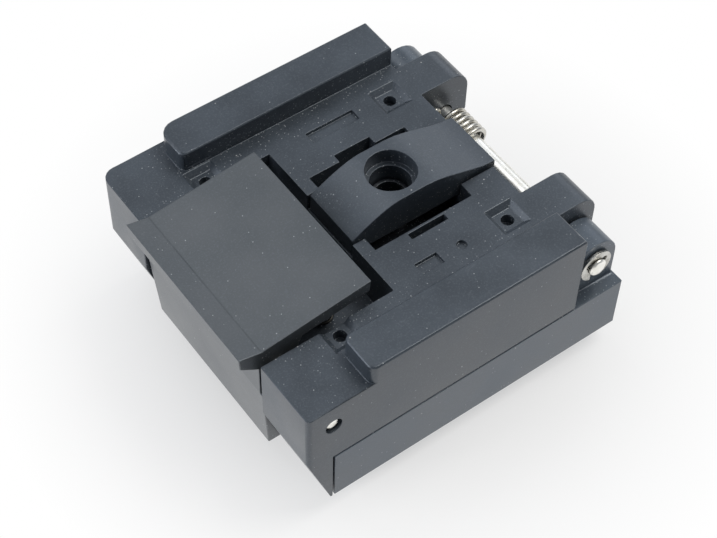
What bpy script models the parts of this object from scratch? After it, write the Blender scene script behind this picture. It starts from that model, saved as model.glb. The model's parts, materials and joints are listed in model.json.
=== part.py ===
"""Clamshell test socket for a square flat-pack chip.

X runs from the latch (-) to the hinge (+), Y from the front (-) to the back (+), Z up.
The origin lies on the seating plane under the base, on the axis through the middle of the chip.
All sizes below are in millimetres.
"""
import math

import bmesh
import bpy
from mathutils import Matrix, Vector

mm = 0.001

# Clearances
touch_gap = 0.3          # between two pieces that meet
slip_gap = 0.2           # round a pin, ring or stem
snug_gap = 0.1           # round a contact leaf
rooting = 0.5            # depth a raised form starts inside its carrier

# Base housing
base_left_reach = 25.3   # chip axis to the latch end
base_right_reach = 21.15  # chip axis to the hinge end
base_width = 46.6
base_height = 9.1
base_floor = 3.0
nest_well = 24.0         # square well that takes the chip nest
catch_setback = 1.6      # latch end of the base behind the prongs
catch_height = 3.6       # underside of the catch over the hook
catch_depth = 2.2
hinge_notch_depth = 2.4

# Hinge
pin_radius = 1.35
pin_rise = 4.7           # pin axis over the base's top
pin_overhang = 1.1       # pin end beyond the knuckle
pin_edge = 0.2           # chamfer on the pin's ends
knuckle_radius = 3.8
knuckle_width = 4.75
knuckle_setback = 0.25   # knuckle behind the base's end
knuckle_inset = 2.0      # knuckle behind the base's side
ear_width = 5.8
ear_corner = 3.0
ring_radius = 2.5
ring_thickness = 0.4
ring_groove_depth = 0.3
ring_relief = 0.5
ring_mouth = 1.5

# Hinge spring
coil_wire = 0.7
coil_slack = 0.55        # coil to the pin inside it
coil_turns = 6
coil_steps = 12          # sides of one turn
coil_leg_ease = 0.2      # corner between the two parts of the lid's leg
coil_pitch = 0.85
coil_setback = 1.2       # coil to the ear beside it
coil_side_gap = 0.75     # coil to the lid's edge
coil_leg = 2.2           # length of the leg inside the lid
coil_leg_rise = 3.8      # pin axis up to that leg
coil_seat_depth = 1.2    # blind hole in the base for the other leg

# Lid frame
lid_top = 20.2
lid_overhang = 4.0       # lid beyond the base at the latch end
lid_plate = 3.7          # thickness of the top plate
lid_corner_back = 1.8
lid_corner_front = 0.7
shoulder_height = 10.4   # where the end blocks start to slant in
prong_tip = 0.3          # thickness of an end block at its foot
bar_rise = 3.2           # raised side bars over the lid's top
bar_width = 6.0
bar_setback = 9.2        # lid's latch end to the front bar
back_bar_setback = 8.8
bar_corner = 2.3         # outer corner of the back bar
bar_small_corner = 1.0   # the other corners
bar_edge = 0.2           # chamfer round the top of a bar
core_width = 4.4         # hollows on the underside of the side walls
core_length = 8.6
core_count = 3
core_rib = 1.6
core_depth = 7.0

# Latch well in the lid
latch_well_half = 13.5
latch_well_edge = -9.6
latch_well_floor = 13.4
arm_slot_length = 6.7    # from the lid's latch end

# Room for the pad under the lid
pad_room_half_x = 8.4
pad_room_half_y = 13.2

# Windows beside the bridge
window_half_length = 7.65
window_half_width = 7.15
window_step_half = 2.85
window_step_width = 1.3
slit_wall = 0.4
slit_width = 0.9

# Pockets and marks on the lid
pocket_side = 4.4
pocket_depth = 0.75
pocket_hole_radius = 0.87
pocket_hole_depth = 1.5
hinge_pocket_x = 9.3
hinge_pocket_y = 12.55
latch_pocket_inset = 10.7  # from the lid's latch end
latch_pocket_y = 14.85
label_length = 7.5
label_width = 1.8
label_depth = 0.5
label_y = 12.75
short_label_length = 3.4
short_label_x = -3.4
dimple_x = 1.7
dimple_radius = 0.7

# Latch lever
latch_pin_radius = 0.9
latch_pin_inset = 3.8    # from the lid's latch end
latch_pin_edge = 0.15    # chamfer on its ends
latch_pin_height = 16.3
latch_pin_recess = 0.35
lever_side_gap = 0.85    # plate to the side of its well
arm_side_gap = 0.35
hook_side_gap = 0.7
lever_boss = 2.55        # round the latch pin
lever_root = 0.3         # boss to the underside of the plate
plate_end_draft = 0.2    # lean of the plate's inner end face
plate_low = 21.55        # top of the plate at the crease
plate_high = 23.4        # top of the plate at its inner end
plate_thickness = 2.0
plate_end_gap = 2.8      # inner end to the edge of the well
crease_inset = 0.8       # from the lid's latch end
lip_width = 3.2
lip_lean = 0.1           # foot of the lip's outer face behind its edge
lip_height = 22.4
lip_drop = 2.0
lip_root = 18.4
arm_inset = 0.3          # arm's outer face behind the lid's latch end
arm_thickness = 2.3
arm_lean = 0.85
arm_waist = 13.2         # height where the arm gets wider and starts to lean
arm_bottom = 1.4
hook_rise = 1.15         # height of the hook's square nose
hook_draft = 0.1
arm_step = 0.3           # arm's inner face starts to lean below its outer one

# Latch springs
latch_spring_radius = 1.5
latch_spring_wire = 0.4
latch_spring_turns = 6
latch_spring_side = 5.5  # from the side of the well
latch_spring_inset = 3.9  # from the plate's inner end

# Pressure bridge
bridge_half_width = 4.6
bridge_crown = 23.5
bridge_crown_half = 2.0
bridge_left_rise = 0.2   # top of its latch end over the lid
bridge_right_rise = 0.5  # top of its hinge end over the lid
bridge_steps = 6         # facets on each slope
bridge_under = 17.8
bridge_bore_radius = 3.42
bridge_bore_depth = 2.3  # crown down to the ledge in the hole
bridge_guide_radius = 2.75

# Pressure pad
pad_half = 8.0
pad_wall = 0.85
pad_foot = 9.05
pad_inside = 12.3
pad_roof = 1.3
pad_corner = 1.85
stem_wall = 0.5
stem_top = 18.8
pad_pin_x = 5.6
pad_pin_radius = 0.6
pad_pin_head_radius = 1.2
pad_pin_head = 0.7
pad_pin_grip = 1.6       # length of the pin held in the bridge
pad_spring_radius = 1.4
pad_spring_wire = 0.4
pad_spring_turns = 3.5
spring_nub_rise = 1.2

# Chip nest
chip_side = 14.0
chip_gap = 0.15
nest_top = 8.6
comb_thickness = 2.0
comb_inner = 7.35        # chip axis to the slots' inner ends
comb_slot = 2.3
nest_leg = 2.2
nest_rim = 1.9
nest_rim_rise = 0.45
post_rise = 1.2
post_thickness = 0.9
post_length = 0.75

# Contacts, moulded into a strip on each side
contact_count = 16       # in each row
contact_pitch = 0.8
leaf_width = 0.3
leaf_thickness = 0.25
tail_length = 3.2
tail_inner = 8.9         # chip axis to the inner tails of a row
tail_outer = 10.7
tip_reach = 7.75
tip_height = 8.75
bow_reach = 10.2
leaf_root = 0.2          # strip's top up to the first bend
leaf_shoulder = 0.75     # up to the middle of the slant
bow_height = 1.3         # up to the bow's outer bend
bow_length = 0.8
bow_setback = 0.25
neck_reach = 0.75        # upper bend out from the tip
neck_rise = 0.35         # upper bend over the comb's underside
tip_foot = 1.1           # foot of the tip over the comb's underside
strip_inner = 8.2        # chip axis to the strip
strip_outer = 11.4
strip_end = 0.55         # strip beyond its last contact
flange_thickness = 0.6
flange_reach = 0.3       # flange beyond the strip on each side

# Locating pegs under the base
peg_radius = 1.0
peg_length = 2.6
peg_x = 14.5
peg_y = 15.5

# Worked out from the sizes above
base_left = -base_left_reach
base_right = base_right_reach
half_width = base_width / 2
lid_left = base_left - lid_overhang
prong_end = base_left - touch_gap
lid_under = base_height + touch_gap
plate_under = lid_top - lid_plate
hinge_x = base_right - knuckle_setback - knuckle_radius
hinge_z = base_height + pin_rise
knuckle_outer = half_width - knuckle_inset
knuckle_inner = knuckle_outer - knuckle_width
ear_outer = knuckle_inner - touch_gap
ear_inner = ear_outer - ear_width
ear_radius = pin_rise - touch_gap - slip_gap
ear_end = hinge_x + ear_radius - touch_gap / 2
pin_end = knuckle_outer + pin_overhang
lid_end = hinge_x - knuckle_radius - touch_gap
coil_centre_radius = pin_radius + coil_slack + coil_wire / 2
lid_middle_end = hinge_x - coil_centre_radius - coil_wire / 2 - coil_side_gap
bar_top = lid_top + bar_rise
bar_left = lid_left + bar_setback
back_bar_left = lid_left + back_bar_setback
bar_inner = half_width - bar_width
latch_x = lid_left + latch_pin_inset
latch_z = latch_pin_height
arm_slot = lid_left + arm_slot_length
plate_end = latch_well_edge - plate_end_gap
crease_x = lid_left + crease_inset
plate_rise = (plate_high - plate_low) / (plate_end - crease_x)
catch_left = base_left + catch_setback
channel_half = bridge_half_width + touch_gap
channel_floor = bridge_under - touch_gap
bridge_left = latch_well_edge + slip_gap
bridge_right = lid_middle_end - slip_gap
nest_half = nest_well / 2 - touch_gap
strip_half_length = (contact_count - 1) / 2 * contact_pitch + strip_end
flange_low = base_floor + touch_gap
strip_top = flange_low + flange_thickness
comb_under = nest_top - comb_thickness
groove_start = knuckle_outer + snug_gap
groove_width = ring_thickness + 2 * snug_gap
coil_x = hinge_x - coil_centre_radius
coil_back = ear_inner - coil_setback - coil_wire / 2
coil_front = coil_back - coil_pitch * coil_turns
leg_height = hinge_z + coil_leg_rise
latch_spring_x = plate_end - latch_spring_inset
latch_spring_y = latch_well_half - latch_spring_side
bridge_ledge = bridge_crown - bridge_bore_depth
stem_radius = bridge_guide_radius - slip_gap
pad_top = pad_inside + pad_roof


def clear_scene():
    for thing in list(bpy.data.objects):
        bpy.data.objects.remove(thing, do_unlink=True)


def make_material(name, colour, roughness, metallic=0.0):
    material = bpy.data.materials.new(name)
    material.use_nodes = True
    shader = material.node_tree.nodes["Principled BSDF"]
    shader.inputs["Base Color"].default_value = (*colour, 1)
    shader.inputs["Roughness"].default_value = roughness
    shader.inputs["Metallic"].default_value = metallic
    material.diffuse_color = (*colour, 1)
    return material


def new_object(name, bm):
    """Turn a bmesh drawn in millimetres into a named object in metres."""
    bmesh.ops.recalc_face_normals(bm, faces=bm.faces)
    bm.transform(Matrix.Scale(mm, 4))
    mesh = bpy.data.meshes.new(name)
    bm.to_mesh(mesh)
    bm.free()
    thing = bpy.data.objects.new(name, mesh)
    bpy.context.collection.objects.link(thing)
    return thing


def in_space(point, depth, axis):
    a, b = point
    return {"x": (depth, a, b), "y": (a, depth, b), "z": (a, b, depth)}[axis]


def draw_prism(bm, outline, span, axis="y"):
    """Extrude a closed outline: (x, z) along y, (x, y) along z or (y, z) along x."""
    face = bm.faces.new([bm.verts.new(in_space(point, span[0], axis)) for point in outline])
    moved = bmesh.ops.extrude_face_region(bm, geom=[face])
    verts = [v for v in moved["geom"] if isinstance(v, bmesh.types.BMVert)]
    bmesh.ops.translate(bm, vec=in_space((0, 0), span[1] - span[0], axis), verts=verts)


def prism(name, outline, span, axis="y"):
    bm = bmesh.new()
    draw_prism(bm, outline, span, axis)
    return new_object(name, bm)


def corners(x, y):
    return [(x[0], y[0]), (x[1], y[0]), (x[1], y[1]), (x[0], y[1])]


def box(name, x, y, z):
    return prism(name, corners(x, y), z, "z")


def boxes(name, spans):
    """One cutter or body made of several separate boxes."""
    bm = bmesh.new()
    for x, y, z in spans:
        draw_prism(bm, corners(x, y), z, "z")
    return new_object(name, bm)


def opposite(span):
    """The same span on the other side of the middle plane."""
    return (-span[1], -span[0])


def arc(cx, cy, radius, start, end, steps):
    """Points on an arc, angles in degrees."""
    turns = [math.radians(start + (end - start) * i / steps) for i in range(steps + 1)]
    return [(cx + radius * math.cos(t), cy + radius * math.sin(t)) for t in turns]


def circle(cx, cy, radius, sides=24):
    return arc(cx, cy, radius, 0, 360, sides)[:-1]


def rounded(x, y, radii, steps=5):
    """Rectangle with its corners counted from low x, low y round by high x; radius 0 is sharp."""
    ends = [(x[0], y[0], 1, 1, 180), (x[1], y[0], -1, 1, 270),
            (x[1], y[1], -1, -1, 0), (x[0], y[1], 1, -1, 90)]
    outline = []
    for (cx, cy, sx, sy, start), radius in zip(ends, radii):
        if radius:
            outline += arc(cx + sx * radius, cy + sy * radius, radius, start, start + 90, steps)
        else:
            outline.append((cx, cy))
    return outline


def rod(name, x, z, radius, span, sides=24):
    """Round bar or bore along y."""
    return prism(name, circle(x, z, radius, sides), span, "y")


def post(name, x, y, radius, span, sides=24):
    """Round bar or bore along z."""
    return prism(name, circle(x, y, radius, sides), span, "z")


def tidy_mesh(mesh):
    """Merge doubles and take out edges that a Boolean left inside flat faces."""
    bm = bmesh.new()
    bm.from_mesh(mesh)
    bmesh.ops.remove_doubles(bm, verts=bm.verts, dist=0.002 * mm)
    bmesh.ops.dissolve_limit(bm, angle_limit=math.radians(0.5), verts=bm.verts, edges=bm.edges)
    bmesh.ops.triangulate(bm, faces=[f for f in bm.faces if len(f.verts) > 4])
    bm.to_mesh(mesh)
    bm.free()


def combine(body, tools, operation):
    """Run one Boolean per tool, keep the result as plain mesh and drop the tools."""
    for tool in tools:
        tool.hide_render = True
        tool.display_type = "WIRE"
        step = body.modifiers.new(tool.name, "BOOLEAN")
        step.operation = operation
        step.solver = "EXACT"
        step.object = tool
    graph = bpy.context.evaluated_depsgraph_get()
    mesh = bpy.data.meshes.new_from_object(body.evaluated_get(graph))
    body.modifiers.clear()
    body.data = mesh
    for tool in tools:
        bpy.data.objects.remove(tool, do_unlink=True)
    tidy_mesh(mesh)
    return body


def cut(body, *tools):
    return combine(body, tools, "DIFFERENCE")


def join(body, *tools):
    return combine(body, tools, "UNION")


def finish(thing, material, round_angle=None):
    thing.data.materials.clear()
    thing.data.materials.append(material)
    if round_angle:
        thing.data.shade_smooth()
        thing.data.set_sharp_from_angle(angle=math.radians(round_angle))
    return thing


def joint_empty(name, centre, carrier=None):
    holder = bpy.data.objects.new(name, None)
    bpy.context.collection.objects.link(holder)
    holder.parent = carrier
    holder.location = Vector(centre) * mm - (carrier.matrix_world.translation if carrier else Vector())
    bpy.context.view_layer.update()
    return holder


def hang_on(holder, *things):
    """Parent pieces to an empty and move their origins onto it."""
    for thing in things:
        thing.data.transform(Matrix.Translation(-holder.matrix_world.translation))
        thing.parent = holder


def contact_places():
    """Middle of each contact along its row, with the reach of its tail: inner and outer by turns."""
    start = -(contact_count - 1) / 2 * contact_pitch
    return [(start + i * contact_pitch, tail_outer if i % 2 else tail_inner)
            for i in range(contact_count)]


def turned(x, y, quarter):
    """A point of the hinge-side row, turned by quarter turns onto another side."""
    for _ in range(quarter):
        x, y = -y, x
    return x, y


def turned_box(x, y, z, quarter):
    a = turned(x[0], y[0], quarter)
    b = turned(x[1], y[1], quarter)
    return (sorted((a[0], b[0])), sorted((a[1], b[1])), z)


# Base

def make_base(plastic):
    mid_end = base_right - hinge_notch_depth
    outline = [(base_left, -half_width), (base_right, -half_width),
               (base_right, -ear_inner), (mid_end, -ear_inner),
               (mid_end, ear_inner), (base_right, ear_inner),
               (base_right, half_width), (base_left, half_width),
               (base_left, latch_well_half), (catch_left, latch_well_half),
               (catch_left, -latch_well_half), (base_left, -latch_well_half)]
    base = prism("base_housing", outline, (0, base_height), "z")
    well = nest_well / 2
    length = strip_half_length + slip_gap
    across = (strip_inner - slip_gap, strip_outer + slip_gap)
    holes = [turned_box(across, (-length, length), (-1, base_floor + 1), quarter) for quarter in range(4)]
    cut(base,
        box("well", (-well, well), (-well, well), (base_floor, base_height + 1)),
        boxes("strip_slots", holes),
        box("catch_recess", (base_left - 1, catch_left + catch_depth),
            (-latch_well_half, latch_well_half), (-1, catch_height)))
    knuckles = []
    for side in (-1, 1):
        span = (knuckle_inner, knuckle_outer) if side > 0 else (-knuckle_outer, -knuckle_inner)
        top = arc(hinge_x, hinge_z, knuckle_radius, 0, 180, 14)
        foot = [(hinge_x - knuckle_radius, base_height - 1), (hinge_x + knuckle_radius, base_height - 1)]
        knuckles.append(prism("knuckle", top + foot, span, "y"))
    pegs = [post("peg", sx * peg_x, sy * peg_y, peg_radius, (-peg_length, 1), 16)
            for sx, sy in ((-1, -1), (1, 1))]
    join(base, *knuckles, *pegs)
    cut(base,
        rod("pin_bore", hinge_x, hinge_z, pin_radius + slip_gap, (-pin_end - 1, pin_end + 1)),
        post("coil_seat", coil_x, coil_front, coil_wire / 2 + touch_gap,
             (base_height - coil_seat_depth, base_height + 1), 12))
    return finish(base, plastic, 30)


# Nest and contacts

def make_nest(plastic):
    half = nest_half
    nest = box("chip_nest", (-half, half), (-half, half), (comb_under, nest_top))
    inner = half - nest_leg
    legs = [box("leg", sorted((sx * inner, sx * half)), sorted((sy * inner, sy * half)),
                (base_floor + touch_gap, nest_top)) for sx in (-1, 1) for sy in (-1, 1)]
    join(nest, *legs)
    rim = box("rim", (-half, half), (-half, half), (nest_top - rooting, nest_top + nest_rim_rise))
    inside = half - nest_rim
    cut(rim, box("rim_inside", (-inside, inside), (-inside, inside), (nest_top - 1, nest_top + 2)))
    near = chip_side / 2 + chip_gap
    posts = []
    for sx in (-1, 1):
        for sy in (-1, 1):
            start, far = near - post_length, near + post_thickness
            corner = [(near, start), (far, start), (far, far), (start, far), (start, near), (near, near)]
            outline = [(sx * x, sy * y) for x, y in corner]
            posts.append(prism("post", outline, (nest_top - rooting, nest_top + post_rise), "z"))
    join(nest, rim, *posts)
    slots = []
    for quarter in range(4):
        for middle, _ in contact_places():
            y = (middle - leaf_width / 2 - snug_gap, middle + leaf_width / 2 + snug_gap)
            slots.append(turned_box((comb_inner, comb_inner + comb_slot), y,
                                    (comb_under - 1, nest_top + 2), quarter))
    cut(nest, boxes("slots", slots))
    return finish(nest, plastic)


def leaf_outline(reach):
    """Both sides of one bent contact, as (distance from the chip axis, height)."""
    bend = (bow_reach + reach) / 2
    bow_base = strip_top + bow_height
    spine = [(reach, -tail_length), (reach, strip_top + leaf_root), (bend, strip_top + leaf_shoulder),
             (bow_reach, bow_base), (bow_reach - bow_setback, bow_base + bow_length),
             (tip_reach + neck_reach, comb_under + neck_rise),
             (tip_reach, comb_under + tip_foot), (tip_reach, tip_height)]
    spine = [Vector(point) for point in spine]
    left, right = [], []
    for i, point in enumerate(spine):
        before = (point - spine[i - 1]).normalized() if i else (spine[1] - point).normalized()
        after = (spine[i + 1] - point).normalized() if i + 1 < len(spine) else before
        along = (before + after).normalized()
        across = Vector((-along.y, along.x)) * leaf_thickness / 2 / along.dot(after)
        left.append(tuple(point + across))
        right.append(tuple(point - across))
    return left + right[::-1]


def make_contact_strip(name, quarter, plastic, metal):
    """Plastic strip in the base floor with its row of bent contacts moulded in."""
    low, high = strip_inner - flange_reach, strip_outer + flange_reach
    long = strip_half_length + flange_reach
    strip = box(name, (strip_inner, strip_outer), (-strip_half_length, strip_half_length),
                (0, (flange_low + strip_top) / 2))
    flange = box("flange", (low, high), (-long, long), (flange_low, strip_top))
    bm = bmesh.new()
    for middle, reach in contact_places():
        draw_prism(bm, leaf_outline(reach), (middle - leaf_width / 2, middle + leaf_width / 2), "y")
    join(strip, flange, new_object("leaves", bm))
    strip.data.transform(Matrix.Rotation(quarter * math.pi / 2, 4, "Z"))
    finish(strip, plastic)
    strip.data.materials.append(metal)
    for face in strip.data.polygons:
        height = face.center.z / mm
        face.material_index = 1 if height < -0.01 or height > strip_top + 0.01 else 0
    return strip


# Lid

def make_lid(plastic):
    radii = (lid_corner_front, 0, 0, lid_corner_back)
    outline = rounded((lid_left, lid_end), (-half_width, half_width), radii)
    lid = prism("lid_frame", outline, (lid_under, lid_top), "z")
    prongs = []
    for side in (-1, 1):
        span = sorted((side * latch_well_half, side * half_width))
        foot = [(lid_left, shoulder_height), (prong_end - prong_tip, 0), (prong_end, 0),
                (prong_end, lid_under), (base_left, shoulder_height)]
        prong = prism("prong", foot, span, "y")
        keep = prism("prong_plan", outline, (-1, shoulder_height + 1), "z")
        prongs.append(combine(prong, (keep,), "INTERSECT"))
    join(lid, *prongs)

    # The end blocks slant in below the shoulder
    slant = [(lid_left - 1, shoulder_height), (lid_left, shoulder_height),
             (prong_end - prong_tip, 0), (prong_end - prong_tip, -1), (lid_left - 1, -1)]
    cut(lid, prism("slant", slant, (-half_width - 1, half_width + 1), "y"))

    # The middle between the ears stops short of the spring
    cut(lid, box("middle_end", (lid_middle_end, lid_end + 1), (-ear_inner, ear_inner), (0, lid_top + 1)))
    bars = []
    for side in (-1, 1):
        span = sorted((side * bar_inner, side * half_width))
        high_corner = bar_corner if side > 0 else bar_small_corner
        start = bar_left if side < 0 else back_bar_left
        plan = rounded((start, lid_end), span, (bar_small_corner, 0, 0, high_corner))
        bars.append(ease_top(prism("bar", plan, (lid_top - 1, bar_top), "z"), bar_edge))
    ears = []
    for side in (-1, 1):
        span = sorted((side * ear_inner, side * ear_outer))
        top = arc(ear_end - ear_corner, lid_top - ear_corner, ear_corner, 90, 0, 6)
        start = math.degrees(math.acos((ear_end - hinge_x) / ear_radius))
        low = arc(hinge_x, hinge_z, ear_radius, -start, -180, 14)
        shape = [(lid_middle_end - 2, lid_top)] + top + low + [(lid_middle_end - 2, hinge_z)]
        ears.append(prism("ear", shape, span, "y"))
    join(lid, *bars, *ears)

    # Room underneath, and the latch well on top
    cut(lid,
        box("pad_room", (-pad_room_half_x, pad_room_half_x),
            (-pad_room_half_y, pad_room_half_y), (0, plate_under)),
        boxes("side_cores", side_cores()),
        box("arm_slot", (lid_left - 1, arm_slot), (-latch_well_half, latch_well_half), (-1, lid_top + 1)),
        box("latch_well", (arm_slot - 1, latch_well_edge), (-latch_well_half, latch_well_half),
            (latch_well_floor, lid_top + 1)),
        box("channel", (latch_well_edge - 1, lid_middle_end + 1), (-channel_half, channel_half),
            (channel_floor, lid_top + 1)),
        rod("latch_bore", latch_x, latch_z, latch_pin_radius + touch_gap,
            (-half_width - 1, half_width + 1), 16),
        rod("pin_bore", hinge_x, hinge_z, pin_radius + slip_gap, (-pin_end - 1, pin_end + 1)))

    # Windows, pockets and shallow marks in the top
    step = window_half_width + window_step_width
    wall = window_half_width + slit_wall
    half_step = (-window_step_half, window_step_half)
    through = (plate_under - 1, lid_top + 1)
    cut(lid,
        box("window", (-window_half_length, window_half_length),
            (-window_half_width, window_half_width), through),
        box("window_step", half_step, (window_half_width - 1, step), through),
        box("slit", half_step, (-wall - slit_width, -wall), through))
    for side in (-1, 1):
        cut(lid,
            pocket("hinge_pocket", hinge_pocket_x, side * hinge_pocket_y),
            pocket("latch_pocket", lid_left + latch_pocket_inset, side * latch_pocket_y))
        cut(lid,
            pocket_hole(hinge_pocket_x, side * hinge_pocket_y),
            pocket_hole(lid_left + latch_pocket_inset, side * latch_pocket_y))
    shallow = (lid_top - label_depth, lid_top + 1)
    short = (short_label_x - short_label_length / 2, short_label_x + short_label_length / 2)
    label = (label_y - label_width / 2, label_y + label_width / 2)
    cut(lid,
        box("label", (-label_length / 2, label_length / 2), label, shallow),
        box("short_label", short, opposite(label), shallow),
        post("dimple", dimple_x, -label_y, dimple_radius, shallow, 12),
        prism("spring_hole", circle(coil_back, leg_height, coil_wire / 2 + slip_gap, 12),
              (lid_middle_end - coil_leg - touch_gap, lid_middle_end + 1), "x"))
    nub = latch_spring_radius - latch_spring_wire - touch_gap
    rise = (latch_well_floor - rooting, latch_well_floor + spring_nub_rise)
    join(lid, *[post("nub", latch_spring_x, side * latch_spring_y, nub, rise, 12) for side in (-1, 1)])
    return finish(lid, plastic, 30)


def side_cores():
    """Hollows on the underside of the two side walls, counted from the hinge end."""
    middle = (pad_room_half_y + half_width) / 2
    spans = []
    for i in range(core_count):
        end = lid_end - core_rib - i * (core_length + core_rib)
        for side in (-1, 1):
            y = (side * middle - core_width / 2, side * middle + core_width / 2)
            spans.append(((end - core_length, end), y, (-1, lid_under + core_depth)))
    return spans


def pocket(name, x, y):
    """Cutter for a square recess whose sides slope in at 45 degrees."""
    half = pocket_side / 2
    over = 0.5
    bm = bmesh.new()
    rings = []
    for reach, height in ((half + over, lid_top + over), (half - pocket_depth, lid_top - pocket_depth)):
        rings.append([bm.verts.new((x + sx * reach, y + sy * reach, height))
                      for sx, sy in ((-1, -1), (1, -1), (1, 1), (-1, 1))])
    bm.faces.new(rings[0])
    bm.faces.new(rings[1][::-1])
    for i in range(4):
        bm.faces.new((rings[0][i], rings[1][i], rings[1][(i + 1) % 4], rings[0][(i + 1) % 4]))
    return new_object(name, bm)


def pocket_hole(x, y):
    low = lid_top - pocket_depth - pocket_hole_depth
    return post("pocket_hole", x, y, pocket_hole_radius, (low, lid_top), 14)


def ease_top(thing, width):
    """Chamfer the top outline of an upright prism."""
    bm = bmesh.new()
    bm.from_mesh(thing.data)
    top = max(v.co.z for v in bm.verts)
    edges = [e for e in bm.edges if all(abs(v.co.z - top) < 1e-6 for v in e.verts)]
    bmesh.ops.bevel(bm, geom=edges, offset=width * mm, segments=1, affect="EDGES", clamp_overlap=True)
    bm.to_mesh(thing.data)
    bm.free()
    return thing


def slope(x, z, fall):
    """Points down one side of the bridge's back, from the edge of its crown to its end."""
    crown = math.copysign(bridge_crown_half, x)
    shares = [i / bridge_steps for i in range(1, bridge_steps + 1)]
    return [(crown + (x - crown) * u, bridge_crown - (bridge_crown - z) * fall(u)) for u in shares]


def make_bridge(plastic):
    low, high = bridge_left, bridge_right
    left = slope(low, lid_top + bridge_left_rise, lambda u: u ** 1.5)
    right = slope(high, lid_top + bridge_right_rise, lambda u: u * u * (3 - 2 * u))
    profile = [(low, bridge_under), (high, bridge_under)] + right[::-1]
    profile += [(bridge_crown_half, bridge_crown), (-bridge_crown_half, bridge_crown)] + left
    bridge = prism("pressure_bridge", profile, (-bridge_half_width, bridge_half_width), "y")
    cut(bridge,
        post("bore", 0, 0, bridge_bore_radius, (bridge_ledge, bridge_crown + 1), 32),
        post("guide", 0, 0, bridge_guide_radius, (bridge_under - 1, bridge_ledge + 1), 32),
        *[post("pin_hole", side * pad_pin_x, 0, pad_pin_radius + snug_gap,
               (bridge_under - 1, bridge_under + pad_pin_grip + touch_gap), 12) for side in (-1, 1)])
    return finish(bridge, plastic, 30)


# Latch

def plate_top_at(x):
    return plate_low + plate_rise * (x - crease_x)


def make_lever(plastic):
    lip_x = crease_x - lip_width
    outside = lid_left + arm_inset
    lean = outside + arm_lean
    inside = outside + arm_thickness
    inside_low = lean + arm_thickness
    nose = catch_left - touch_gap
    hook_top = catch_height - touch_gap
    root_x = latch_x + lever_boss + lever_root
    boss = arc(latch_x, latch_z, lever_boss, -110, 40, 10)
    profile = [(plate_end, plate_high), (crease_x, plate_low), (lip_x, lip_height),
               (lip_x + lip_lean, lip_height - lip_drop), (outside, lip_root), (outside, arm_waist),
               (lean, arm_bottom), (inside_low, arm_bottom), (nose, hook_top - hook_rise), (nose, hook_top),
               (inside_low - hook_draft, hook_top), (inside, arm_waist - arm_step)]
    profile += boss
    profile += [(root_x, plate_top_at(root_x) - plate_thickness),
                (plate_end - plate_end_draft, plate_top_at(plate_end) - plate_thickness)]
    wide = latch_well_half - arm_side_gap
    slim = latch_well_half - lever_side_gap
    hook = latch_well_half - hook_side_gap
    lever = prism("latch_lever", profile, (-wide, wide), "y")
    for side in (-1, 1):
        above = box("above", (lip_x - 1, plate_end + 1), sorted((side * slim, side * (wide + 1))),
                    (arm_waist, bridge_crown + 2))
        beyond = side * (wide + 1)
        taper = [(side * wide, arm_waist), (beyond, arm_waist), (beyond, 0), (side * hook, 0)]
        cut(lever, above, prism("taper", taper, (lip_x - 1, nose + 1), "x"))
    cut(lever, rod("bore", latch_x, latch_z, latch_pin_radius + slip_gap, (-wide - 1, wide + 1), 16))
    return finish(lever, plastic, 30)


# Round parts

def link_rings(bm, rings):
    """Skin between rings of points, with a flat face on each end."""
    rings = [[bm.verts.new(point) for point in ring] for ring in rings]
    for a, b in zip(rings, rings[1:]):
        for i in range(len(a)):
            j = (i + 1) % len(a)
            bm.faces.new((a[i], a[j], b[j], b[i]))
    bm.faces.new(rings[0][::-1])
    bm.faces.new(rings[-1])


def turned_bar(name, centre, stations, axis, sides):
    """Bar turned on a lathe: its (place along the axis, radius) from end to end."""
    bm = bmesh.new()
    link_rings(bm, [[in_space(point, place, axis) for point in circle(*centre, radius, sides)]
                    for place, radius in stations])
    return new_object(name, bm)


def make_hinge_pin(steel):
    """Pin with eased ends and a groove for a ring near each of them."""
    core = pin_radius - ring_groove_depth
    groove_end = groove_start + groove_width
    half = [(groove_start, pin_radius), (groove_start, core), (groove_end, core), (groove_end, pin_radius),
            (pin_end - pin_edge, pin_radius), (pin_end, pin_radius - pin_edge)]
    stations = [(-place, radius) for place, radius in half[::-1]] + half
    return finish(turned_bar("hinge_pin", (hinge_x, hinge_z), stations, "y", 24), steel, 30)


def make_e_ring(name, side, steel):
    """Open retaining ring whose three fingers sit in the pin's groove."""
    start = groove_start + (groove_width - ring_thickness) / 2
    span = sorted((side * start, side * (start + ring_thickness)))
    wide = (-pin_end - 1, pin_end + 1)
    ring = rod(name, hinge_x, hinge_z, ring_radius, span, 28)
    grip = pin_radius - ring_groove_depth + snug_gap
    cut(ring,
        rod("grip", hinge_x, hinge_z, grip, wide, 20),
        box("mouth", (hinge_x - ring_mouth / 2, hinge_x + ring_mouth / 2), wide,
            (hinge_z - ring_radius - 1, hinge_z)))
    reliefs = []
    for turn in (30, 150):
        x = hinge_x + (grip + ring_relief / 2) * math.cos(math.radians(turn))
        z = hinge_z + (grip + ring_relief / 2) * math.sin(math.radians(turn))
        reliefs.append(rod("relief", x, z, ring_relief, wide, 10))
    cut(ring, *reliefs)
    return finish(ring, steel, 30)


def make_latch_pin(steel):
    end = half_width - latch_pin_recess
    eased = latch_pin_radius - latch_pin_edge
    stations = [(-end, eased), (latch_pin_edge - end, latch_pin_radius),
                (end - latch_pin_edge, latch_pin_radius), (end, eased)]
    return finish(turned_bar("latch_pin", (latch_x, latch_z), stations, "y", 20), steel, 30)


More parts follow.
